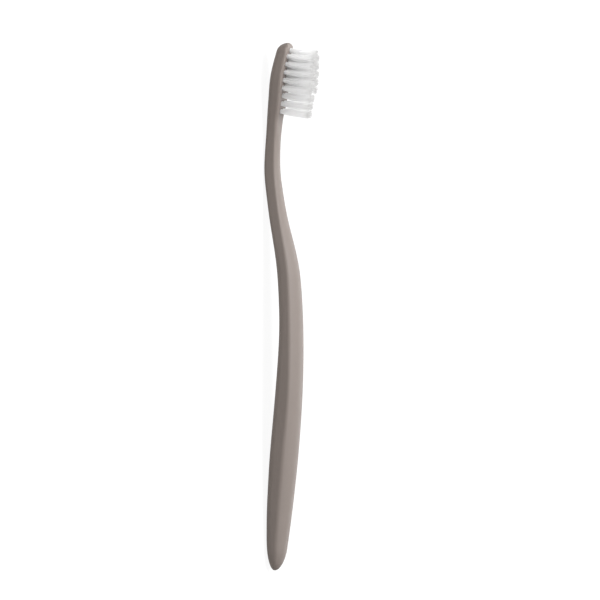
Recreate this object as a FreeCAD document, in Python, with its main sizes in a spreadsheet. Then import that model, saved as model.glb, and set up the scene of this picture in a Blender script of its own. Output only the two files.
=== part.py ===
import FreeCAD, Part
import math
import os

import Sketcher

# A manual toothbrush that lies on its back, in millimetres and degrees. +X runs from the tail to the
# head, +Z is up along the bristles, and the origin is on the table under the middle of the brush.

# Sections across the moulded handle, from tail to head: the run from the section before, the width,
# the lift of the back above the table and the depth from back to front. The tail and the neck are
# what the brush lies on, so they have no lift, and the head's sections reach up to its flat face.
STATIONS = {
    "tail": {"run": 10.0, "width": 9.8, "depth": 6.95},
    "heel": {"run": 9.5, "width": 11.3, "lift": 0.2, "depth": 8.3},
    "palm": {"run": 20.0, "width": 12.6, "lift": 1.5, "depth": 9.4},
    "grip": {"run": 23.0, "width": 13.0, "lift": 3.9, "depth": 8.7},
    "thumb": {"run": 23.0, "width": 12.6, "lift": 5.5, "depth": 7.5},
    "slope": {"run": 21.0, "width": 10.7, "lift": 4.5, "depth": 7.1},
    "throat": {"run": 17.0, "width": 8.0, "lift": 1.9, "depth": 5.6},
    "neck": {"run": 16.0, "width": 6.2, "depth": 5.2},
    "collar": {"run": 11.0, "width": 6.2, "lift": 0.6, "depth": 4.8},
    "shoulder": {"run": 7.5, "width": 7.4, "lift": 1.05, "depth": 4.8},
    "face_base": {"run": 4.0, "width": 8.5, "lift": 1.4},
    "head_base": {"run": 3.5, "width": 9.4, "lift": 1.75},
    "head_mid": {"run": 7.0, "width": 10.6, "lift": 2.5},
    "head_front": {"run": 8.8, "width": 7.7, "lift": 4.62},
}
HANDLE_STATIONS = [name for name, values in STATIONS.items() if "depth" in values]
# The section's form changes along the handle: the half angles that its front and back crowns turn
# through, and the radii that round its front and back edges.
FORMS = {
    "tail": {"front_turn": 46, "back_turn": 26, "front_edge": 2.2, "back_edge": 2.3},
    "grip": {"front_turn": 36, "back_turn": 22, "front_edge": 1.5, "back_edge": 2.3},
    "neck": {"front_turn": 26, "back_turn": 19, "front_edge": 0.9, "back_edge": 1.3},
    "head": {"front_turn": 4, "back_turn": 32, "front_edge": 1.2, "back_edge": 1.7},
}
FORM_OF = {
    "tail": "tail", "heel": "tail", "palm": "tail",
    "grip": "grip", "thumb": "grip", "slope": "grip",
    "throat": "neck", "neck": "neck", "collar": "neck",
    "shoulder": "head", "face_base": "head", "head_base": "head", "head_mid": "head", "head_front": "head",
}
# Both ends are rounded off along a quarter ellipse, with a section at each of these angles round it.
# The first and the last are small flats, like the marks that a mould leaves at a gate.
TAIL_ANGLES = (8, 25, 45, 65)
TIP_ANGLES = (65, 45, 25, 8)
# The rounded ends, the flat bristle face, the holes in it, the tufts and the anchors that hold them.
OTHER_SIZES = {
    "tail_apex": 2.4,
    "tip_run": 3.2,
    "tip_drop": 1.3,
    "face_height": 8.05,
    "face_tilt": 8.6,
    "face_trim": 0.2,
    "hole_diameter": 1.7,
    "hole_depth": 2.7,
    "hole_rim": 0.6,
    "hole_wall": 0.45,
    "tip_hole_run": 2.7,
    "first_row_run": 4.5,
    "row_pitch": 2.81,
    "field_run": 19.8,
    "column_pitch": 2.65,
    "pair_rows": 3,
    "pair_pitch": 2.9,
    "bristle_length": 10.2,
    "pair_length": 10.5,
    "tuft_spread": 2.25,
    "tuft_rounding": 0.35,
    "tuft_clearance": 0.04,
    "fold_height": 0.5,
    "anchor_height": 1.4,
    "anchor_thickness": 0.3,
    "anchor_bite": 0.12,
}
# Share of a section's depth that its crowns and rounded edges may take, so that its sides stay flat.
ROUNDED_SHARE = 0.97
TILT = "sizes.face_tilt * 1 deg"
UP = FreeCAD.Vector(0, 0, 1)
FACE_AXIS = FreeCAD.Vector(0, -1, 0)

doc = FreeCAD.newDocument("toothbrush")
sizes = doc.addObject("Spreadsheet::Sheet", "sizes")
layout = doc.addObject("Spreadsheet::Sheet", "layout")


def fill(sheet, cells):
    for row, alias in enumerate(cells, start=1):
        sheet.set(f"A{row}", alias)
        sheet.setAlias(f"B{row}", alias)
    for row, content in enumerate(cells.values(), start=1):
        sheet.set(f"B{row}", content)


def size_cells():
    cells = {}
    for group in (STATIONS, FORMS):
        for name, values in group.items():
            for key, value in values.items():
                cells[f"{name}_{key}"] = str(value)
    for name, value in OTHER_SIZES.items():
        cells[name] = str(value)
    return cells


def face_level(x):
    """Height of the flat bristle face above the table at a place along the head."""
    return f"(sizes.face_height + ({x} - head_mid_x) * tan({TILT}))"


def form_cells(name, form, share="1"):
    cells = {}
    for side in ("front", "back"):
        cells[f"{name}_{side}_turn"] = f"=sizes.{form}_{side}_turn"
        cells[f"{name}_{side}_full_edge"] = f"=sizes.{form}_{side}_edge * {share}"
    return cells


def station_cells():
    cells = {}
    x = "0"
    for name, values in STATIONS.items():
        x = f"{x} + sizes.{name}_run"
        cells[f"{name}_x"] = f"={x}"
        cells[f"{name}_half"] = f"=sizes.{name}_width / 2"
        cells[f"{name}_back"] = f"=sizes.{name}_lift" if "lift" in values else "=0"
        cells[f"{name}_front"] = f"={face_level(f'{name}_x')} + sizes.face_trim"
        if name in HANDLE_STATIONS:
            cells[f"{name}_front"] = f"={name}_back + sizes.{name}_depth"
        cells.update(form_cells(name, FORM_OF[name]))
    cells["tip_x"] = f"={x} + sizes.tip_run"
    cells["tip_face"] = f"={face_level('tip_x')}"
    return cells


def halfway_cells(before, near, far, after):
    """A section halfway between two stations, on the cubic that their neighbours' slopes give."""
    name = f"{near}_{far}"
    cells = {}
    for key in ("x", "front_turn", "front_full_edge", "back_turn", "back_full_edge"):
        cells[f"{name}_{key}"] = f"=({near}_{key} + {far}_{key}) / 2"
    for key in ("half", "front", "back"):
        near_slope = f"({far}_{key} - {before}_{key}) / ({far}_x - {before}_x)"
        far_slope = f"({after}_{key} - {near}_{key}) / ({after}_x - {near}_x)"
        bulge = f"({far}_x - {near}_x) / 8 * ({near_slope} - {far_slope})"
        cells[f"{name}_{key}"] = f"=({near}_{key} + {far}_{key}) / 2 + {bulge}"
    return cells


def tail_cells(angle):
    name = f"tail_{angle}"
    share = f"sin({angle} deg)"
    cells = {
        f"{name}_x": f"=sizes.tail_run * (1 - cos({angle} deg))",
        f"{name}_half": f"=tail_half * {share}",
        f"{name}_front": f"=sizes.tail_apex + (tail_front - sizes.tail_apex) * {share}",
        f"{name}_back": f"=sizes.tail_apex + (tail_back - sizes.tail_apex) * {share}",
    }
    cells.update(form_cells(name, "tail", share))
    return cells


def tip_cells(angle):
    name = f"tip_{angle}"
    share = f"sin({angle} deg)"
    apex = f"{face_level(f'{name}_x')} - sizes.tip_drop"
    below = f"({face_level('head_front_x')} - head_front_back - sizes.tip_drop)"
    cells = {
        f"{name}_x": f"=tip_x - sizes.tip_run * (1 - cos({angle} deg))",
        f"{name}_half": f"=head_front_half * {share}",
        f"{name}_front": f"={apex} + (sizes.tip_drop + sizes.face_trim) * {share}",
        f"{name}_back": f"={apex} - {below} * {share}",
    }
    cells.update(form_cells(name, "head", share))
    return cells


def outline_cells(name):
    """Edge radii that leave flat sides, crown radii tangent to them and heights of the edge centres."""
    cells = {}
    crowns = []
    edges = []
    for side in ("front", "back"):
        rise = f"tan({name}_{side}_turn * 0.5 deg)"
        crowns.append(f"{name}_half * {rise}")
        edges.append(f"{name}_{side}_full_edge * (1 - {rise})")
    room = f"({name}_front - {name}_back) * {ROUNDED_SHARE} - {' - '.join(crowns)}"
    cells[f"{name}_fit"] = f"=min(1; ({room}) / ({' + '.join(edges)}))"
    for side, inward, outward in (("front", "-", "+"), ("back", "+", "-")):
        level, edge, bend = f"{name}_{side}", f"{name}_{side}_edge", f"{name}_{side}_bend"
        turn = f"{name}_{side}_turn * 1 deg"
        cells[edge] = f"={name}_{side}_full_edge * {name}_fit"
        cells[bend] = f"={edge} + ({name}_half - {edge}) / sin({turn})"
        cells[f"{name}_{side}_centre"] = f"={level} {inward} {bend} {outward} ({bend} - {edge}) * cos({turn})"
    return cells


def lay_out():
    """Fill both sheets and return the names of the handle's sections in order."""
    cells = station_cells()
    names = []
    for angle in TAIL_ANGLES:
        cells.update(tail_cells(angle))
        names.append(f"tail_{angle}")
    for place, near in enumerate(HANDLE_STATIONS[:-1]):
        far = HANDLE_STATIONS[place + 1]
        before = HANDLE_STATIONS[max(place - 1, 0)]
        after = HANDLE_STATIONS[min(place + 2, len(HANDLE_STATIONS) - 1)]
        cells.update(halfway_cells(before, near, far, after))
        names += [near, f"{near}_{far}"]
    names += list(STATIONS)[len(HANDLE_STATIONS) - 1:]
    for angle in TIP_ANGLES:
        cells.update(tip_cells(angle))
        names.append(f"tip_{angle}")
    for name in names:
        cells.update(outline_cells(name))
    fill(sizes, size_cells())
    fill(layout, cells)
    doc.recompute()
    return names


def size(name):
    return float(sizes.get(name))


def worked(name):
    return float(layout.get(name))


def sketch_on(body, name, role):
    sketch = body.newObject("Sketcher::SketchObject", name)
    plane = next(feature for feature in body.Origin.OriginFeatures if feature.Role == role)
    sketch.AttachmentSupport = [(plane, "")]
    sketch.MapMode = "FlatFace"
    return sketch


def bind(sketch, expression, *constraint):
    index = sketch.addConstraint(Sketcher.Constraint(*constraint))
    sketch.setExpression(f"Constraints[{index}]", expression)


def arc(across, height, radius, start, end):
    circle = Part.Circle(FreeCAD.Vector(across, height, 0), UP, radius)
    return Part.ArcOfCircle(circle, math.radians(start), math.radians(end))


def line(start, end):
    return Part.LineSegment(FreeCAD.Vector(*start, 0), FreeCAD.Vector(*end, 0))


def rectangle(sketch, left, bottom, right, top):
    """Four bound lines. Each side is an expression for its distance from the origin and its value."""
    low, high = -bottom[1], top[1]
    corners = [(-left[1], low), (right[1], low), (right[1], high), (-left[1], high)]
    for start, end in zip(corners, corners[1:] + corners[:1]):
        sketch.addGeometry(line(start, end))
    for index in range(4):
        sketch.addConstraint(Sketcher.Constraint("Coincident", index, 2, (index + 1) % 4, 1))
        sketch.addConstraint(Sketcher.Constraint(("Horizontal", "Vertical")[index % 2], index))
    bind(sketch, left[0], "DistanceX", 0, 1, -1, 1, left[1])
    bind(sketch, right[0], "DistanceX", -1, 1, 0, 2, right[1])
    bind(sketch, bottom[0], "DistanceY", 0, 1, -1, 1, bottom[1])
    bind(sketch, top[0], "DistanceY", -1, 1, 2, 1, top[1])


def section_sketch(body, name):
    """A closed outline across the handle: crowned front and back, straight sides, rounded edges."""
    half = worked(f"{name}_half")
    keys = ("edge", "turn", "bend", "centre")
    front_edge, front_turn, front_bend, front = [worked(f"{name}_front_{key}") for key in keys]
    back_edge, back_turn, back_bend, back = [worked(f"{name}_back_{key}") for key in keys]
    front_root = worked(f"{name}_front") - front_bend
    back_root = worked(f"{name}_back") + back_bend
    outline = [
        arc(0, front_root, front_bend, 90 - front_turn, 90 + front_turn),
        arc(front_edge - half, front, front_edge, 90 + front_turn, 180),
        line((-half, front), (-half, back)),
        arc(back_edge - half, back, back_edge, 180, 270 - back_turn),
        arc(0, back_root, back_bend, 270 - back_turn, 270 + back_turn),
        arc(half - back_edge, back, back_edge, 270 + back_turn, 360),
        line((half, back), (half, front)),
        arc(half - front_edge, front, front_edge, 0, 90 - front_turn),
    ]
    crown, left_front, left, left_back, underside, right_back, right, right_front = range(len(outline))
    sketch = sketch_on(body, f"Section_{name}", "YZ_Plane")
    sketch.setExpression("AttachmentOffset.Base.z", f"layout.{name}_x")
    sketch.addGeometry(outline)
    for index in range(len(outline)):
        sketch.addConstraint(Sketcher.Constraint("Tangent", index, 2, (index + 1) % len(outline), 1))
    sketch.addConstraint([
        Sketcher.Constraint("PointOnObject", crown, 3, -2),
        Sketcher.Constraint("PointOnObject", underside, 3, -2),
        Sketcher.Constraint("Vertical", left),
        Sketcher.Constraint("Vertical", right),
        Sketcher.Constraint("Equal", left_front, right_front),
        Sketcher.Constraint("Equal", left_back, right_back),
    ])
    bind(sketch, f"layout.{name}_half", "DistanceX", -1, 1, right, 1, half)
    bind(sketch, f"layout.{name}_half", "DistanceX", left, 1, -1, 1, half)
    bind(sketch, f"layout.{name}_front_bend", "Radius", crown, front_bend)
    bind(sketch, f"layout.{name}_front_edge", "Radius", right_front, front_edge)
    bind(sketch, f"layout.{name}_front_centre", "DistanceY", -1, 1, right_front, 3, front)
    bind(sketch, f"layout.{name}_back_bend", "Radius", underside, back_bend)
    bind(sketch, f"layout.{name}_back_edge", "Radius", left_back, back_edge)
    bind(sketch, f"layout.{name}_back_centre", "DistanceY", -1, 1, left_back, 3, back)
    return sketch


def moulding(body, names):
    sections = [section_sketch(body, name) for name in names]
    loft = body.newObject("PartDesign::AdditiveLoft", "Moulding")
    loft.Profile = sections[0]
    loft.Sections = sections[1:]


def face_sketch(body, name):
    """A sketch on the tilted bristle face, with its origin above the head's tip."""
    sketch = sketch_on(body, name, "XY_Plane")
    sketch.AttachmentOffset = FreeCAD.Placement(FreeCAD.Vector(), FreeCAD.Rotation(FACE_AXIS, size("face_tilt")))
    sketch.setExpression("AttachmentOffset.Base.x", "layout.tip_x")
    sketch.setExpression("AttachmentOffset.Base.z", "layout.tip_face")
    sketch.setExpression("AttachmentOffset.Rotation.Angle", TILT)
    return sketch


def flat_face(body):
    """Trim the head's front flat, from the shoulder, which lies just below the cut, to past the tip."""
    sketch = face_sketch(body, "FaceOutline")
    inward = ("layout.tip_x - layout.shoulder_x", worked("tip_x") - worked("shoulder_x"))
    beyond = ("sizes.tip_run", size("tip_run"))
    across = ("sizes.head_mid_width", size("head_mid_width"))
    rectangle(sketch, inward, across, beyond, across)
    cut = body.newObject("PartDesign::Pocket", "FlatFace")
    cut.Profile = sketch
    cut.Type = "ThroughAll"
    cut.Reversed = True
    doc.recompute()
    flats = [face for face in cut.Shape.Faces if isinstance(face.Surface, Part.Plane)]
    return max(flats, key=lambda face: face.Area)


def rim_offset(face, run, offset):
    """How far out a row's side holes stand: the offset asked for, or less where the face's rim is near."""
    tilt = math.radians(size("face_tilt"))
    x = worked("tip_x") - run * math.cos(tilt)
    z = worked("tip_face") - run * math.sin(tilt)
    centre = Part.Vertex(FreeCAD.Vector(x, offset, z))
    room = face.OuterWire.distToShape(centre)[0]
    return offset - max(size("hole_diameter") / 2 + size("hole_rim") - room, 0)


def hole_places(face):
    """Name, run from the tip, offset from the middle and bristle length of every hole's tuft.

    The rows count from the tip. One tuft stands before the first row, in place of its middle one. The
    other middle ones stand half a pitch before their rows, so that they fill the gaps between the side
    tufts, and the rows by the neck, where the head narrows, are pairs.
    """
    places = [("tip", "sizes.tip_hole_run", 0, "bristle_length")]
    rows = int(size("field_run") / size("row_pitch")) + 1
    for row in range(rows):
        paired = row >= rows - size("pair_rows")
        length = "pair_length" if paired else "bristle_length"
        run = f"(sizes.first_row_run + {row} * sizes.row_pitch)"
        wanted = size("pair_pitch") / 2 if paired else size("column_pitch")
        offset = rim_offset(face, size("first_row_run") + row * size("row_pitch"), wanted)
        places.append((f"{row + 1}_left", run, offset, length))
        if row > 0 and not paired and offset >= size("hole_diameter") + size("hole_wall"):
            between = f"(sizes.first_row_run + ({row} - 0.5) * sizes.row_pitch)"
            places.append((f"{row + 1}_middle", between, 0, length))
        places.append((f"{row + 1}_right", run, -offset, length))
    return places


def tuft_holes(body, places):
    sketch = face_sketch(body, "HoleCircles")
    radius = size("hole_diameter") / 2
    for index, (name, run, offset, length) in enumerate(places):
        sketch.addGeometry(Part.Circle(FreeCAD.Vector(-1, offset, 0), UP, radius))
        bind(sketch, run, "DistanceX", index, 3, -1, 1, 1)
        bind(sketch, "sizes.hole_diameter / 2", "Radius", index, radius)
        if offset == 0:
            sketch.addConstraint(Sketcher.Constraint("PointOnObject", index, 3, -1))
        else:
            sketch.addConstraint(Sketcher.Constraint("DistanceY", -1, 1, index, 3, offset))
    holes = body.newObject("PartDesign::Pocket", "TuftHoles")
    holes.Profile = sketch
    holes.setExpression("Length", "sizes.hole_depth")


def handle_blank():
    """The moulding with its flat face and tuft holes, and the holes' places."""
    names = lay_out()
    body = doc.addObject("PartDesign::Body", "HandleBlank")
    body.setExpression("Placement.Base.x", "-layout.tip_x / 2")
    moulding(body, names)
    places = hole_places(flat_face(body))
    tuft_holes(body, places)
    return body, places


def stand_in_hole(piece, run, offset, inward="0", across="0", up="0"):
    """Stand a piece square to the bristle face, its origin so far from the middle of a hole's floor."""
    along = f"({run} + {inward})"
    below = f"(sizes.hole_depth - {up})"
    piece.Placement = FreeCAD.Placement(FreeCAD.Vector(), FreeCAD.Rotation(FACE_AXIS, size("face_tilt")))
    x = f"layout.tip_x / 2 - {along} * cos({TILT}) + {below} * sin({TILT})"
    z = f"layout.tip_face - {along} * sin({TILT}) - {below} * cos({TILT})"
    piece.setExpression("Placement.Base.x", x)
    piece.setExpression("Placement.Base.y", f"{offset} - {across}")
    piece.setExpression("Placement.Base.z", z)
    piece.setExpression("Placement.Rotation.Angle", TILT)


def tuft_profile(body, length):
    """Half of a tuft: a root that fills its hole, a slight flare and a flat trim with a rounded rim."""
    root = size("hole_diameter") / 2 - size("tuft_clearance")
    depth = size("hole_depth")
    spread = size("tuft_spread") / 2
    rounding = size("tuft_rounding")
    top = depth + size(length)
    sketch = sketch_on(body, "Profile", "XZ_Plane")
    sketch.addGeometry([
        line((0, 0), (root, 0)),
        line((root, 0), (root, depth)),
        line((root, depth), (spread, top - rounding)),
        arc(spread - rounding, top - rounding, rounding, 0, 90),
        line((spread - rounding, top), (0, top)),
        line((0, top), (0, 0)),
    ])
    floor, wall, flare, rim, trim, middle = range(6)
    for start, end in ((floor, wall), (wall, flare), (flare, rim), (trim, middle)):
        sketch.addConstraint(Sketcher.Constraint("Coincident", start, 2, end, 1))
    sketch.addConstraint([
        Sketcher.Constraint("Coincident", middle, 2, -1, 1),
        Sketcher.Constraint("Coincident", floor, 1, -1, 1),
        Sketcher.Constraint("Tangent", rim, 2, trim, 1),
        Sketcher.Constraint("Horizontal", rim, 3, flare, 2),
        Sketcher.Constraint("Horizontal", floor),
        Sketcher.Constraint("Horizontal", trim),
        Sketcher.Constraint("Vertical", wall),
        Sketcher.Constraint("Vertical", middle),
    ])
    bind(sketch, "sizes.hole_diameter / 2 - sizes.tuft_clearance", "DistanceX", -1, 1, floor, 2, root)
    bind(sketch, "sizes.hole_depth", "DistanceY", -1, 1, wall, 2, depth)
    bind(sketch, "sizes.tuft_spread / 2", "DistanceX", -1, 1, flare, 2, spread)
    bind(sketch, f"sizes.hole_depth + sizes.{length}", "DistanceY", -1, 1, trim, 2, top)
    bind(sketch, "sizes.tuft_rounding", "Radius", rim, rounding)
    return sketch


def tuft(name, run, offset, length):
    """A bundle of filaments, folded at the hole's floor, with a slot where its anchor passes through."""
    body = doc.addObject("PartDesign::Body", f"tuft_{name}")
    bundle = body.newObject("PartDesign::Revolution", "Bundle")
    profile = tuft_profile(body, length)
    bundle.Profile = profile
    bundle.ReferenceAxis = (profile, ["V_Axis"])
    sketch = sketch_on(body, "SlotOutline", "YZ_Plane")
    across = ("sizes.anchor_thickness / 2", size("anchor_thickness") / 2)
    low = ("-sizes.fold_height", -size("fold_height"))
    high = ("sizes.fold_height + sizes.anchor_height", size("fold_height") + size("anchor_height"))
    rectangle(sketch, across, low, across, high)
    slot = body.newObject("PartDesign::Pocket", "Slot")
    slot.Profile = sketch
    slot.Type = "ThroughAll"
    slot.SideType = "Symmetric"
    stand_in_hole(body, run, offset)
    return body


def anchor(name, run, offset):
    """A plate on the fold, longer than the hole is wide, so that its ends bite into the wall."""
    plate = doc.addObject("Part::Box", f"Anchor_{name}")
    plate.setExpression("Length", "sizes.hole_diameter + 2 * sizes.anchor_bite")
    plate.setExpression("Width", "sizes.anchor_thickness")
    plate.setExpression("Height", "sizes.anchor_height")
    inward = "(sizes.hole_diameter / 2 + sizes.anchor_bite)"
    stand_in_hole(plate, run, offset, inward, "sizes.anchor_thickness / 2", "sizes.fold_height")
    return plate


def assemble():
    blank, places = handle_blank()
    tufts = [tuft(*place) for place in places]
    anchors = doc.addObject("Part::Compound", "tuft_anchors")
    anchors.Links = [anchor(name, run, offset) for name, run, offset, length in places]
    handle = doc.addObject("Part::Cut", "handle")
    handle.Base = blank
    handle.Tool = anchors
    doc.recompute()
    return [handle, *tufts, anchors]


def write_steps(pieces):
    for item in doc.Objects:
        if "Invalid" in item.State or "Error" in item.State:
            raise RuntimeError(f"{item.Name} could not be worked out")
    os.makedirs("parts", exist_ok=True)
    for piece in pieces:
        if piece.Shape.isNull() or not piece.Shape.isValid():
            raise RuntimeError(f"{piece.Label} has no valid shape")
        piece.Shape.exportStep(f"parts/{piece.Label}.step")
        print(piece.Label, len(piece.Shape.Solids), round(piece.Shape.Volume, 3))


write_steps(assemble())
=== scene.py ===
import math

import bmesh
import bpy
import numpy as np
from mathutils import Matrix, Vector


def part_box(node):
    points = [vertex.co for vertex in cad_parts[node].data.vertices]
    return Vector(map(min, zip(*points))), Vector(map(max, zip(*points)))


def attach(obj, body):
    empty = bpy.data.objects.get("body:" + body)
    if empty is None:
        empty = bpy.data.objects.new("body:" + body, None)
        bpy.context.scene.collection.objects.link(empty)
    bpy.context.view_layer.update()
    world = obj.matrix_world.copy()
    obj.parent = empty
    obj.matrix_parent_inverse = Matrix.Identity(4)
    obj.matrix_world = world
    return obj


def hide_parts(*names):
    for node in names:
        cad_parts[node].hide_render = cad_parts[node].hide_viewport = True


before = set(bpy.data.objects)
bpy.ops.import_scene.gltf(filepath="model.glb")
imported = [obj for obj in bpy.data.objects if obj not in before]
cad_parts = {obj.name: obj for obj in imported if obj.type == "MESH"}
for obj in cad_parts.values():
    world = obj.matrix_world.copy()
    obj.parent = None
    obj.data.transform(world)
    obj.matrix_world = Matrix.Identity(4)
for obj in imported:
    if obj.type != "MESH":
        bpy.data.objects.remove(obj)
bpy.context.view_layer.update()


# The handle is one injection moulding in matte taupe plastic: tail, grip, neck and head together. Its
# skin runs smoothly through sections across it, the head's front is trimmed flat, and each tuft has a
# blind hole there. The mould's two halves leave a fine parting line along both sides.

# Lengths are written in millimetres, and MM turns them into metres.
MM = 0.001
LENGTH = 184.5
# Place from the tail, width, lift of the back off the table and height of the front, then the half
# angles of the front and back crowns and the radii of the front and back edges.
SECTIONS = [
    (10.0, 9.9, 0.0, 7.12, 46, 26, 2.2, 2.3),
    (19.5, 11.3, 0.2, 8.5, 46, 26, 2.2, 2.3),
    (39.5, 12.6, 1.5, 10.9, 46, 26, 2.2, 2.3),
    (62.5, 13.0, 3.9, 12.6, 36, 22, 1.5, 2.3),
    (85.5, 12.6, 5.5, 13.0, 36, 22, 1.5, 2.3),
    (106.5, 10.7, 4.5, 11.6, 36, 22, 1.5, 2.3),
    (123.5, 8.0, 1.9, 7.5, 26, 19, 0.9, 1.3),
    (139.5, 6.2, 0.0, 5.2, 26, 19, 0.9, 1.3),
    (150.5, 6.2, 0.6, 5.4, 26, 19, 0.9, 1.3),
    (158.0, 7.4, 1.05, 5.85, 4, 32, 1.2, 1.7),
]
HEAD_SECTIONS = [(162.0, 8.5, 1.4), (165.5, 9.4, 1.75), (172.5, 10.6, 2.5), (181.3, 7.7, 4.62)]
HEAD_FORM = (4, 32, 1.2, 1.7)
FACE_TILT = math.radians(8.6)
FACE_HEIGHT = 8.05
FACE_PLACE = 172.5
FACE_PROUD = 0.2
TAIL_APEX = 2.4
TAIL_TAPER = 0.07
TIP_DROP = 1.3
# Angles of the sections round the rounded tail and tip, from the apex, where a section has no size.
CAP_ANGLES = (0.0, 8.0, 25.0, 45.0, 65.0)
LEAST_SHARE = 1e-5
ARC_STEPS = {"crown": 24, "front_edge": 14, "side": 6, "back_edge": 9, "underside": 24}
# The skin's rings lie closer before the first of these places and after the second.
RING_CHANGES = (16, 147)
TAIL_RINGS, GRIP_RINGS, HEAD_RINGS = 44, 210, 170


def face_level(x):
    return FACE_HEIGHT + (x - FACE_PLACE) * math.tan(FACE_TILT)


def arc_points(across, height, radius, start, end, steps):
    angles = np.radians(np.linspace(start, end, steps, endpoint=False))
    return np.stack([across + radius * np.cos(angles), height + radius * np.sin(angles)], axis=1)


def section_outline(x, half, back, front, front_turn, back_turn, front_edge, back_edge):
    """Points round one section, and how far each is round from the parting line on its side."""
    front_bend = front_edge + (half - front_edge) / math.sin(math.radians(front_turn))
    back_bend = back_edge + (half - back_edge) / math.sin(math.radians(back_turn))
    front_root, back_root = front - front_bend, back + back_bend
    top = front_root + (front_bend - front_edge) * math.cos(math.radians(front_turn))
    low = back_root - (back_bend - back_edge) * math.cos(math.radians(back_turn))
    steps = ARC_STEPS
    side = np.linspace(top, low, steps["side"], endpoint=False)
    runs = [
        arc_points(0, front_root, front_bend, 90 - front_turn, 90 + front_turn, steps["crown"]),
        arc_points(front_edge - half, top, front_edge, 90 + front_turn, 180, steps["front_edge"]),
        np.stack([np.full(len(side), -half), side], axis=1),
        arc_points(back_edge - half, low, back_edge, 180, 270 - back_turn, steps["back_edge"]),
        arc_points(0, back_root, back_bend, 270 - back_turn, 270 + back_turn, steps["underside"]),
        arc_points(half - back_edge, low, back_edge, 270 + back_turn, 360, steps["back_edge"]),
        np.stack([np.full(len(side), half), top + low - side], axis=1),
        arc_points(half - front_edge, top, front_edge, 0, 90 - front_turn, steps["front_edge"]),
    ]
    points = np.concatenate(runs)
    seam = points[:, 1] - (top + low) / 2
    return np.column_stack([np.full(len(points), x), points, seam])


def halfway(before, near, far, after):
    """The section between two others, on the cubic that their neighbours' slopes give."""
    values = [np.array(section, dtype=float) for section in (before, near, far, after)]
    middle = (values[1] + values[2]) / 2
    near_slope = (values[2] - values[0]) / (values[2][0] - values[0][0])
    far_slope = (values[3] - values[1]) / (values[3][0] - values[1][0])
    bulge = (values[2][0] - values[1][0]) / 8 * (near_slope - far_slope)
    middle[1:4] += bulge[1:4]
    return tuple(middle)


def cap_share(angle):
    """How wide a rounded end is at an angle, and how far from its apex, as shares of the whole."""
    turn = math.radians(angle)
    return max(math.sin(turn), LEAST_SHARE), 1 - math.cos(turn)


def handle_sections():
    """The outlines of all sections, from the apex of the tail to the apex of the tip."""
    rows = []
    x, width, lift, front, *form = SECTIONS[0]
    for angle in CAP_ANGLES:
        share, run = cap_share(angle)
        turns, edges = form[:2], [edge * share for edge in form[2:]]
        place = x * run
        taper = TAIL_TAPER * (x - place)
        back = TAIL_APEX + (lift - TAIL_APEX) * share
        level = TAIL_APEX + (front - TAIL_APEX - taper) * share
        rows.append((place, (width - taper) / 2 * share, back, level, *turns, *edges))
    last = len(SECTIONS) - 1
    for number, section in enumerate(SECTIONS):
        rows.append((section[0], section[1] / 2, *section[2:]))
        if number < last:
            around = [SECTIONS[min(max(number + step, 0), last)] for step in (-1, 0, 1, 2)]
            middle = halfway(*around)
            rows.append((middle[0], middle[1] / 2, *middle[2:]))
    for x, width, lift in HEAD_SECTIONS:
        rows.append((x, width / 2, lift, face_level(x) + FACE_PROUD, *HEAD_FORM))
    x, width, lift = HEAD_SECTIONS[-1]
    below = face_level(x) - lift - TIP_DROP
    for angle in reversed(CAP_ANGLES):
        share, run = cap_share(angle)
        place = LENGTH - (LENGTH - x) * run
        apex = face_level(place) - TIP_DROP
        turns, edges = HEAD_FORM[:2], [edge * share for edge in HEAD_FORM[2:]]
        front = apex + (TIP_DROP + FACE_PROUD) * share
        rows.append((place, width / 2 * share, apex - below * share, front, *turns, *edges))
    return np.array([section_outline(*row) for row in rows])


def smooth_through(knots, values, places):
    """A natural cubic spline through one set of points for each knot, read at the places."""
    gaps = np.diff(knots)
    count = len(knots)
    system = np.eye(count)
    slopes = np.diff(values, axis=0) / gaps[:, None]
    right = np.zeros_like(values)
    for row in range(1, count - 1):
        system[row, row - 1:row + 2] = gaps[row - 1], 2 * (gaps[row - 1] + gaps[row]), gaps[row]
        right[row] = 6 * (slopes[row] - slopes[row - 1])
    bends = np.linalg.solve(system, right)
    span = np.clip(np.searchsorted(knots, places) - 1, 0, count - 2)
    gap = gaps[span][:, None]
    near = (knots[span + 1] - places)[:, None] / gap
    far = 1 - near
    line = near * values[span] + far * values[span + 1]
    bow = (near ** 3 - near) * bends[span] + (far ** 3 - far) * bends[span + 1]
    return line + gap ** 2 / 6 * bow


def handle_skin():
    """Rings of points along the handle, each with its distance from the parting line."""
    outlines = handle_sections()
    rings, points, _ = outlines.shape
    chords = np.linalg.norm(np.diff(outlines[:, :, :3], axis=0), axis=2).mean(axis=1)
    knots = np.concatenate([[0], np.cumsum(chords)])
    changes = np.interp(RING_CHANGES, outlines[:, 0, 0], knots)
    places = np.concatenate([
        np.linspace(0, changes[0], TAIL_RINGS, endpoint=False),
        np.linspace(changes[0], changes[1], GRIP_RINGS, endpoint=False),
        np.linspace(changes[1], knots[-1], HEAD_RINGS),
    ])
    flat = smooth_through(knots, outlines.reshape(rings, -1), places)
    return flat.reshape(len(places), points, 4)


def trim_face(skin, blend=0.16, run_out=1.2):
    """Press what stands above the bristle face down to it, with a softly rounded rim and neck end."""
    height = (skin[:, :, 2] - face_level(skin[:, :, 0])) * math.cos(FACE_TILT)
    pressed = np.minimum(height, 0) - np.maximum(blend - np.abs(height), 0) ** 2 / (4 * blend)
    onset = np.clip((skin[:, :, 0] - SECTIONS[-1][0]) / run_out, 0, 1)
    drop = (pressed - height) * onset ** 2 * (3 - 2 * onset)
    skin[:, :, 0] -= drop * math.sin(FACE_TILT)
    skin[:, :, 2] += drop * math.cos(FACE_TILT)


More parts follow.
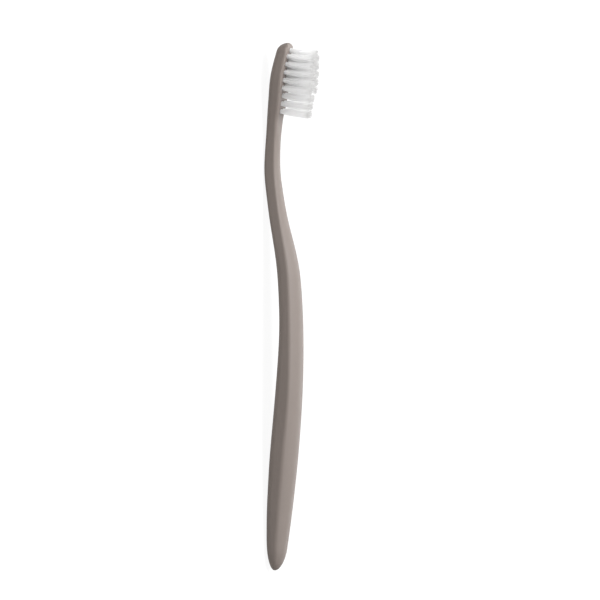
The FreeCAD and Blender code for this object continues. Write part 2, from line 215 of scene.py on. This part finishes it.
def skin_mesh(name, skin):
    """A closed mesh of the rings, with one point at the tail's apex and one at the tip's."""
    rings, points, _ = skin.shape
    body = skin[1:-1].reshape(-1, 4)
    tail, tip = skin[0].mean(axis=0), skin[-1].mean(axis=0)
    vertices = np.vstack([body, tail, tip])
    faces = []
    for ring in range(rings - 3):
        for point in range(points):
            after = (point + 1) % points
            near, far = ring * points, (ring + 1) * points
            faces.append((near + point, near + after, far + after, far + point))
    last = (rings - 3) * points
    for point in range(points):
        after = (point + 1) % points
        faces.append((len(body), after, point))
        faces.append((len(body) + 1, last + point, last + after))
    mesh = bpy.data.meshes.new(name)
    placed = (vertices[:, :3] - (LENGTH / 2, 0, 0)) * MM
    mesh.from_pydata(placed.tolist(), [], faces)
    seam = mesh.attributes.new("seam", "FLOAT", "POINT")
    seam.data.foreach_set("value", vertices[:, 3])
    return mesh


class Wire:
    """A tree's socket, on which arithmetic adds Math nodes and node() adds any other node."""

    def __init__(self, tree, output=None):
        self.tree = tree
        self.output = output

    def node(self, kind, settings=None, sockets=None, output=0):
        made = self.tree.nodes.new(kind)
        for name, value in (settings or {}).items():
            setattr(made, name, value)
        for key, value in (sockets or {}).items():
            if isinstance(value, Wire):
                self.tree.links.new(value.output, made.inputs[key])
            else:
                made.inputs[key].default_value = value
        return Wire(self.tree, made.outputs[output] if len(made.outputs) else None)

    def also(self, output):
        return Wire(self.tree, self.output.node.outputs[output])

    def maths(self, operation, *values):
        return self.node("ShaderNodeMath", {"operation": operation}, dict(enumerate(values)))

    def clamped(self):
        return self.maths("MINIMUM", self.maths("MAXIMUM", self, 0.0), 1.0)

    def mixed(self, share, first, second):
        return self.node("ShaderNodeMix", {"data_type": "RGBA"}, {0: share, 6: first, 7: second}, 2)

    def __add__(self, other):
        return self.maths("ADD", self, other)

    def __sub__(self, other):
        return self.maths("SUBTRACT", self, other)

    def __rsub__(self, other):
        return self.maths("SUBTRACT", other, self)

    def __mul__(self, other):
        return self.maths("MULTIPLY", self, other)

    def __truediv__(self, other):
        return self.maths("DIVIDE", self, other)

    def __pow__(self, other):
        return self.maths("POWER", self, other)

    def __abs__(self):
        return self.maths("ABSOLUTE", self)

    __radd__ = __add__
    __rmul__ = __mul__


def new_material(name):
    material = bpy.data.materials.new(name)
    material.use_nodes = True
    material.node_tree.nodes.clear()
    return material, Wire(material.node_tree)


TAUPE_DEEP = (0.198, 0.168, 0.151, 1)
TAUPE_PALE = (0.234, 0.198, 0.179, 1)
SEAM_HALF_WIDTH = 0.07
SEAM_HEIGHT = 0.03
GRAIN_HEIGHT = 0.010
MOTTLE_HEIGHT = 0.006
handle_plastic, taupe = new_material("taupe_plastic")
skin_place = taupe.node("ShaderNodeTexCoord", output="Object")


def unevenness(scale, detail):
    """A noise of the moulded surface, in cycles for each metre."""
    sockets = {"Vector": skin_place, "Scale": scale, "Detail": detail}
    return taupe.node("ShaderNodeTexNoise", None, sockets, "Fac")


grain = unevenness(5200, 3)
mottle = unevenness(620, 4)
cloud = unevenness(48, 3)
off_seam = abs(taupe.node("ShaderNodeAttribute", {"attribute_name": "seam"}, output="Fac"))
ridge = (1 - off_seam / SEAM_HALF_WIDTH).clamped()
shade = 0.5 * cloud + 0.35 * mottle + 0.15 * grain
relief = GRAIN_HEIGHT * grain + MOTTLE_HEIGHT * mottle + SEAM_HEIGHT * ridge
bumps = taupe.node("ShaderNodeBump", None, {"Strength": 1.0, "Distance": MM, "Height": relief})
skin_shader = taupe.node("ShaderNodeBsdfPrincipled", None, {
    "Base Color": taupe.mixed(shade, TAUPE_DEEP, TAUPE_PALE),
    "Roughness": 0.44 + 0.16 * cloud + 0.06 * grain,
    "Specular IOR Level": 0.42,
    "Normal": bumps,
})
taupe.node("ShaderNodeOutputMaterial", None, {"Surface": skin_shader})

HOLE_RADIUS = 0.85
HOLE_DEPTH = 2.7
HOLE_SIDES = 40
PLUG_PROUD = 1
ROOT_RADIUS = 0.81
BURR = 0.002 * MM
SHARP_EDGE = math.radians(40)
tuft_nodes = sorted(
    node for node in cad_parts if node.startswith("tuft_") and node != "tuft_anchors"
)
along_face = Vector((math.cos(FACE_TILT), 0, math.sin(FACE_TILT)))
off_face = Vector((-math.sin(FACE_TILT), 0, math.cos(FACE_TILT)))


def hole_frame(node):
    """Where a tuft stands: on the middle of its hole's floor, square to the bristle face."""
    low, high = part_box(node)
    floor_middle = (
        high[0] - ROOT_RADIUS * MM * math.cos(FACE_TILT),
        (low[1] + high[1]) / 2,
        low[2] + ROOT_RADIUS * MM * math.sin(FACE_TILT),
    )
    turned = Matrix((along_face, Vector((0, 1, 0)), off_face)).transposed().to_4x4()
    return Matrix.Translation(floor_middle) @ turned


def hole_cutter():
    """One closed plug for each hole, from its floor to clear of the face."""
    vertices, faces = [], []
    for node in tuft_nodes:
        stand = hole_frame(node)
        low = len(vertices)
        top = low + HOLE_SIDES
        for level in (0, HOLE_DEPTH + PLUG_PROUD):
            for side in range(HOLE_SIDES):
                angle = 2 * math.pi * side / HOLE_SIDES
                along, across = HOLE_RADIUS * math.cos(angle), HOLE_RADIUS * math.sin(angle)
                vertices.append(stand @ (Vector((along, across, level)) * MM))
        faces.append([low + side for side in reversed(range(HOLE_SIDES))])
        faces.append([top + side for side in range(HOLE_SIDES)])
        for side in range(HOLE_SIDES):
            after = (side + 1) % HOLE_SIDES
            faces.append([low + side, low + after, top + after, top + side])
    mesh = bpy.data.meshes.new("hole_plugs")
    mesh.from_pydata(vertices, [], faces)
    return mesh


def plain_mesh(item):
    """What an object's modifiers make of it, as a mesh of its own."""
    worked_out = bpy.context.evaluated_depsgraph_get()
    ready = item.evaluated_get(worked_out)
    return bpy.data.meshes.new_from_object(
        ready, preserve_all_data_layers=True, depsgraph=worked_out
    )


skin = handle_skin()
trim_face(skin)
handle = bpy.data.objects.new("moulded_handle", skin_mesh("moulded_handle", skin))
bpy.context.collection.objects.link(handle)
plugs = bpy.data.objects.new("hole_plugs", hole_cutter())
bpy.context.collection.objects.link(plugs)
drilling = handle.modifiers.new("tuft_holes", "BOOLEAN")
drilling.solver = "EXACT"
drilling.object = plugs
drilled = plain_mesh(handle)
handle.modifiers.clear()
handle.data = drilled
bpy.data.objects.remove(plugs)
deburred = bmesh.new()
deburred.from_mesh(drilled)
bmesh.ops.remove_doubles(deburred, verts=deburred.verts, dist=BURR)
bmesh.ops.dissolve_degenerate(deburred, edges=deburred.edges, dist=BURR)
deburred.to_mesh(drilled)
deburred.free()
drilled.shade_smooth()
drilled.set_sharp_from_angle(angle=SHARP_EDGE)
drilled.materials.clear()
drilled.materials.append(handle_plastic)
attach(handle, "root")
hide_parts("handle")


# The tufts are bundles of white nylon filaments, folded over at the floor of their holes and trimmed
# flat, with each filament's end rounded. They fan out a little from the hole, so neighbours meet.

STRANDS = 46
STRAND_RADIUS = 0.09
STRAND_SIDES = 5
STRAND_LEVELS = 11
SHORTEST_STRAND = 0.985
FIRST_LEVEL = 0.06
END_WIDTH = 0.5
END_ROUNDING = 4.5
# Half widths of a bundle at its cut end, along and across the head, and how far single strands stray.
TIP_ALONG = 1.24
TIP_ACROSS = 1.28
TIP_STRAY = 0.13
TURN_STRAY = 0.25
GOLDEN_ANGLE = 2.399963
FAN_QUICKNESS = 4.8
LEAN = 0.45
# How far the strands part round the anchor, and over what depth they do.
ANCHOR_GAP = 0.2
PARTING_RUN = 0.8
NYLON_SHADE = (0.955, 0.955, 0.96, 1)
NYLON_LIGHT = (0.99, 0.99, 0.99, 1)
# The cut ends are frosted, but their dull grey is painted shade: it darkens the tops of the strands,
# which catch the most lamp light.
NYLON_SHADED_END = (0.47, 0.465, 0.46, 1)
NYLON_THROUGH = (0.995, 0.995, 0.995, 1)
# A strand is clearest at half its length: less so where it is packed in the hole and at its cut end.
CLEAREST, PACKED_LOSS, FROSTED_LOSS = 0.86, 0.25, 0.56
bristle_nylon, nylon = new_material("white_nylon")
strand_tone = nylon.node("ShaderNodeAttribute", {"attribute_name": "strand"}, output="Fac")
along_strand = nylon.node("ShaderNodeAttribute", {"attribute_name": "free"}, output="Fac")
streak = nylon.node("ShaderNodeTexNoise", None, {
    "Vector": nylon.node("ShaderNodeTexCoord", output="Object"),
    "Scale": 900,
    "Detail": 2,
}, "Fac")
tone = 0.75 * strand_tone + 0.25 * streak
# Towards the cut end the base colour turns to that painted shade of grey, and the strand also grows
# less clear.
frosted_shaded_end = along_strand ** 7
packed = (1 - along_strand) ** 3
strand_colour = nylon.mixed(tone, NYLON_SHADE, NYLON_LIGHT)
nylon_shader = nylon.node("ShaderNodeBsdfPrincipled", None, {
    "Base Color": nylon.mixed(frosted_shaded_end, strand_colour, NYLON_SHADED_END),
    "Roughness": 0.34 + 0.14 * strand_tone,
    "Specular IOR Level": 0.3,
})
glowing = nylon.node("ShaderNodeBsdfTranslucent", None, {"Color": NYLON_THROUGH})
clearness = CLEAREST - PACKED_LOSS * packed - FROSTED_LOSS * frosted_shaded_end
nylon_shader = nylon.node("ShaderNodeMixShader", None, {0: clearness, 1: nylon_shader, 2: glowing})
far_wall = nylon.node("ShaderNodeNewGeometry", output="Backfacing")
clear = nylon.node("ShaderNodeBsdfTransparent")
nylon_shader = nylon.node("ShaderNodeMixShader", None, {0: far_wall, 1: nylon_shader, 2: clear})
nylon.node("ShaderNodeOutputMaterial", None, {"Surface": nylon_shader})

tuft_tree = bpy.data.node_groups.new("bristle_tuft", "GeometryNodeTree")
tuft_tree.interface.new_socket("Geometry", in_out="OUTPUT", socket_type="NodeSocketGeometry")
TUFT_INPUTS = {
    "Strands": "NodeSocketInt", "Seed": "NodeSocketInt",
    "Strand Radius": "NodeSocketFloat", "Root Radius": "NodeSocketFloat",
    "Tip Along": "NodeSocketFloat", "Tip Across": "NodeSocketFloat",
    "Depth": "NodeSocketFloat", "Length": "NodeSocketFloat", "Lean": "NodeSocketFloat",
    "Anchor Gap": "NodeSocketFloat", "Nylon": "NodeSocketMaterial",
}
tuft_inputs = {}
for name, kind in TUFT_INPUTS.items():
    socket = tuft_tree.interface.new_socket(name, in_out="INPUT", socket_type=kind)
    tuft_inputs[name] = socket.identifier
bundle = Wire(tuft_tree)
given = bundle.node("NodeGroupInput")
index = bundle.node("GeometryNodeInputIndex")


def chance(low, high, stream):
    """A random number for each strand, from the tuft's own seed."""
    seed = given.also("Seed") + stream
    settings = {"data_type": "FLOAT"}
    return bundle.node("FunctionNodeRandomValue", settings, {2: low, 3: high, 7: index, 8: seed}, 1)


def stored(geometry, kind, name, value):
    settings = {"data_type": kind, "domain": "POINT"}
    sockets = {0: geometry, "Name": name, "Value": value}
    return bundle.node("GeometryNodeStoreNamedAttribute", settings, sockets)


def read_back(kind, name):
    return bundle.node("GeometryNodeInputNamedAttribute", {"data_type": kind}, {"Name": name})


def vector(x, y, z):
    return bundle.node("ShaderNodeCombineXYZ", None, {0: x, 1: y, 2: z})


# The strands' roots fill the round hole evenly, each turned from the last by the golden angle.
share = ((index + 0.5) / given.also("Strands")) ** 0.5
angle = GOLDEN_ANGLE * index + chance(-TURN_STRAY, TURN_STRAY, 1)
out_along = share * angle.maths("COSINE", angle)
out_across = share * angle.maths("SINE", angle)
root_radius = given.also("Root Radius")
root = vector(out_along * root_radius, out_across * root_radius, 0.0)
stray_along = chance(-TIP_STRAY * MM, TIP_STRAY * MM, 2)
stray_across = chance(-TIP_STRAY * MM, TIP_STRAY * MM, 3)
fan_along = out_along * (given.also("Tip Along") - root_radius) + stray_along
fan_across = out_across * (given.also("Tip Across") - root_radius) + stray_across
roots = bundle.node("GeometryNodeMeshLine", None, {"Count": given.also("Strands")})
roots = bundle.node("GeometryNodeSetPosition", None, {0: roots, "Position": root})
roots = stored(roots, "FLOAT_VECTOR", "fan", vector(fan_along, fan_across, 0.0))
roots = stored(roots, "FLOAT", "across", out_across)
roots = stored(roots, "FLOAT", "strand", chance(0.0, 1.0, 4))

# One straight strand, with more levels towards its rounded end and its root.
rise = index / (STRAND_LEVELS - 1)
height = (1 - (1 - rise ** 2) ** 3) * (given.also("Length") - FIRST_LEVEL * MM) + FIRST_LEVEL * MM
upright = vector(0.0, 0.0, height)
strand = bundle.node("GeometryNodeMeshLine", None, {"Count": STRAND_LEVELS})
strand = bundle.node("GeometryNodeSetPosition", None, {0: strand, "Position": upright})
strand = bundle.node("GeometryNodeMeshToCurve", None, {0: strand})
ring = bundle.node("GeometryNodeCurvePrimitiveCircle", None, {
    "Resolution": STRAND_SIDES,
    "Radius": given.also("Strand Radius"),
})
strand = bundle.node("GeometryNodeCurveToMesh", None, {
    0: strand,
    1: ring,
    "Scale": (END_WIDTH + END_ROUNDING * (1 - rise)).clamped(),
    "Fill Caps": True,
})
strand = bundle.node("GeometryNodeSetShadeSmooth", None, {0: strand})

# The strands stand on their roots, part round the anchor in the hole and fan out and lean above it.
strands = bundle.node("GeometryNodeInstanceOnPoints", None, {
    0: roots,
    "Instance": strand,
    "Scale": vector(1.0, 1.0, chance(SHORTEST_STRAND, 1.0, 5)),
})
strands = bundle.node("GeometryNodeRealizeInstances", None, {0: strands})
spot = bundle.node("GeometryNodeInputPosition")
level = bundle.node("ShaderNodeSeparateXYZ", None, {0: spot}, "Z")
depth = given.also("Depth")
free = ((level - depth) / (given.also("Length") - depth)).clamped()
below = ((depth - level) / (PARTING_RUN * MM)).clamped()
opening = 1 - (1 - free) ** FAN_QUICKNESS
across_root = read_back("FLOAT", "across")
side = across_root.maths("SIGN", across_root)
parting = side * (1 - abs(across_root)) * below * given.also("Anchor Gap")
shifted = vector(free * given.also("Lean"), parting, 0.0)
fan = read_back("FLOAT_VECTOR", "fan")
fanned = bundle.node("ShaderNodeVectorMath", {"operation": "SCALE"}, {0: fan, 3: opening})
moved = bundle.node("ShaderNodeVectorMath", {"operation": "ADD"}, {0: fanned, 1: shifted})
strands = stored(strands, "FLOAT", "free", free)
strands = bundle.node("GeometryNodeSetPosition", None, {0: strands, "Offset": moved})
strands = bundle.node("GeometryNodeSetMaterial", None, {0: strands, "Material": given.also("Nylon")})
bundle.node("NodeGroupOutput", None, {0: strands})

# How far each row's filaments are trimmed past the plain length, from the tip to the neck.
ROW_TRIM = {
    "tip": 0.0, "1": 0.05, "2": 0.2, "3": 0.4, "4": 0.6, "5": 0.65, "6": 0.1, "7": 0.0, "8": 0.0,
}
FIRST_SEED, SEED_STEP = 11, 7
for number, node in enumerate(tuft_nodes):
    stand = hole_frame(node)
    low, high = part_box(node)
    slant = 2 * ROOT_RADIUS * MM * math.tan(FACE_TILT)
    standing = (high[2] - low[2]) / math.cos(FACE_TILT) - slant
    standing += ROW_TRIM[node.split("_")[1]] * MM
    name = "bristles_" + node[len("tuft_"):]
    tuft = bpy.data.objects.new(name, bpy.data.meshes.new("bristles"))
    bpy.context.collection.objects.link(tuft)
    growing = tuft.modifiers.new("bristles", "NODES")
    growing.node_group = tuft_tree
    values = {
        "Strands": STRANDS, "Seed": FIRST_SEED + SEED_STEP * number,
        "Strand Radius": STRAND_RADIUS * MM, "Root Radius": (ROOT_RADIUS - STRAND_RADIUS) * MM,
        "Tip Along": TIP_ALONG * MM, "Tip Across": TIP_ACROSS * MM,
        "Depth": HOLE_DEPTH * MM, "Length": standing, "Lean": LEAN * MM,
        "Anchor Gap": ANCHOR_GAP * MM, "Nylon": bristle_nylon,
    }
    for name, value in values.items():
        growing[tuft_inputs[name]] = value
    grown = plain_mesh(tuft)
    tuft.modifiers.clear()
    for name in ("fan", "across"):
        grown.attributes.remove(grown.attributes[name])
    grown.transform(stand)
    tuft.data = grown
    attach(tuft, "root")
    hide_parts(node)


# The anchors are small plates cut from metal strip. Each is pressed into its hole with the filaments
# folded under it, and its ends bite into the plastic, so nothing of it shows.

STRIP_DEEP = (0.52, 0.40, 0.20, 1)
STRIP_PALE = (0.78, 0.65, 0.38, 1)
STRIP_DRAWN = (300, 4000, 9000)
anchor_metal, metal = new_material("anchor_strip")
strip_place = metal.node("ShaderNodeTexCoord", output="Object")
drawn = metal.node("ShaderNodeMapping", None, {"Vector": strip_place, "Scale": STRIP_DRAWN})
scratches = metal.node("ShaderNodeTexNoise", None, {
    "Vector": drawn,
    "Scale": 1.0,
    "Detail": 4,
}, "Fac")
metal_shader = metal.node("ShaderNodeBsdfPrincipled", None, {
    "Base Color": metal.mixed(scratches, STRIP_DEEP, STRIP_PALE),
    "Metallic": 1.0,
    "Roughness": 0.28 + 0.2 * scratches,
})
metal.node("ShaderNodeOutputMaterial", None, {"Surface": metal_shader})
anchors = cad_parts["tuft_anchors"]
for slot in anchors.material_slots:
    slot.material = anchor_metal


# The table is plain and white. A soft lamp hangs above the head's end, with a weaker one behind the
# brush and one in front. The camera stands beside it, a little round towards the bristles, head up.

WHITE = (1, 1, 1, 1)
# The table as it is seen: a white glow, and a faint diffuse part that takes the brush's shadow. The
# brush itself is lit by the duller tone.
TABLE_GLOW = 0.92
TABLE_SHADOWED = (0.105, 0.105, 0.105, 1)
TABLE_DULL = (0.41, 0.40, 0.39, 1)
TABLE_CORNERS = [(-3, -3, 0), (3, -3, 0), (3, 3, 0), (-3, 3, 0)]
table_mesh = bpy.data.meshes.new("table")
table_mesh.from_pydata(TABLE_CORNERS, [], [(0, 1, 2, 3)])
table = bpy.data.objects.new("table", table_mesh)
bpy.context.collection.objects.link(table)
table_white, tabletop = new_material("table_white")
ray = tabletop.node("ShaderNodeLightPath", output="Is Camera Ray")
seen = (ray + ray.also("Is Glossy Ray") + ray.also("Is Transmission Ray")).clamped()
glow = tabletop.node("ShaderNodeEmission", None, {"Color": WHITE, "Strength": TABLE_GLOW})
shadowed = tabletop.node("ShaderNodeBsdfDiffuse", None, {"Color": TABLE_SHADOWED})
bright = tabletop.node("ShaderNodeAddShader", None, {0: glow, 1: shadowed})
dull = tabletop.node("ShaderNodeBsdfDiffuse", None, {"Color": TABLE_DULL})
top = tabletop.node("ShaderNodeMixShader", None, {0: seen, 1: dull, 2: bright})
tabletop.node("ShaderNodeOutputMaterial", None, {"Surface": top})
table_mesh.materials.append(table_white)

ROOM_TONE = (1.0, 0.98, 0.97, 1)
ROOM_STRENGTH = 0.26
world = bpy.data.worlds.new("studio")
world.use_nodes = True
world.node_tree.nodes.clear()
bpy.context.scene.world = world
studio = Wire(world.node_tree)
ray = studio.node("ShaderNodeLightPath", output="Is Camera Ray")
seen = (ray + ray.also("Is Transmission Ray")).clamped()
backdrop = studio.node("ShaderNodeBackground", None, {"Color": WHITE, "Strength": 1.0})
room = studio.node("ShaderNodeBackground", None, {"Color": ROOM_TONE, "Strength": ROOM_STRENGTH})
sky = studio.node("ShaderNodeMixShader", None, {0: seen, 1: room, 2: backdrop})
studio.node("ShaderNodeOutputWorld", None, {"Surface": sky})


def soft_lamp(name, place, width, height, power):
    """A rectangular lamp that faces the brush."""
    light = bpy.data.lights.new(name, "AREA")
    light.shape = "RECTANGLE"
    light.size = width
    light.size_y = height
    light.energy = power
    lamp = bpy.data.objects.new(name, light)
    lamp.location = place
    lamp.rotation_euler = (-Vector(place)).to_track_quat("-Z", "Y").to_euler()
    bpy.context.collection.objects.link(lamp)


soft_lamp("overhead", (0.3, 0.1, 0.9), 0.8, 0.9, 14.0)
soft_lamp("rim", (0.1, -0.95, 0.4), 1.2, 0.3, 4.4)
soft_lamp("front_fill", (0.7, 1.7, 0.95), 1.4, 0.8, 6.4)

# The view's turn round the brush, its tilt and its roll, then its width and the middle of the picture
# across and along the brush in millimetres, and the camera's distance in metres.
ROUND = math.radians(20.0)
OVER = math.radians(4.5)
ROLL = math.radians(0.389)
VIEW_WIDTH = 209.06
VIEW_CENTRE = (11.07, 94.17)
STAND_OFF = 1.5
right = Vector((0, -math.sin(ROUND), math.cos(ROUND)))
upward = Vector((
    math.cos(OVER),
    -math.sin(OVER) * math.cos(ROUND),
    -math.sin(OVER) * math.sin(ROUND),
))
right, upward = (
    right * math.cos(ROLL) - upward * math.sin(ROLL),
    right * math.sin(ROLL) + upward * math.cos(ROLL),
)
towards = right.cross(upward)
camera_data = bpy.data.cameras.new("camera")
camera_data.type = "ORTHO"
camera_data.ortho_scale = VIEW_WIDTH * MM
camera = bpy.data.objects.new("camera", camera_data)
aim = (right * VIEW_CENTRE[0] + upward * VIEW_CENTRE[1] - Vector((LENGTH / 2, 0, 0))) * MM
turn = Matrix((right, upward, towards)).transposed().to_4x4()
camera.matrix_world = Matrix.Translation(aim + towards * STAND_OFF) @ turn
bpy.context.collection.objects.link(camera)
bpy.context.scene.camera = camera

bpy.context.scene.view_settings.view_transform = "Standard"
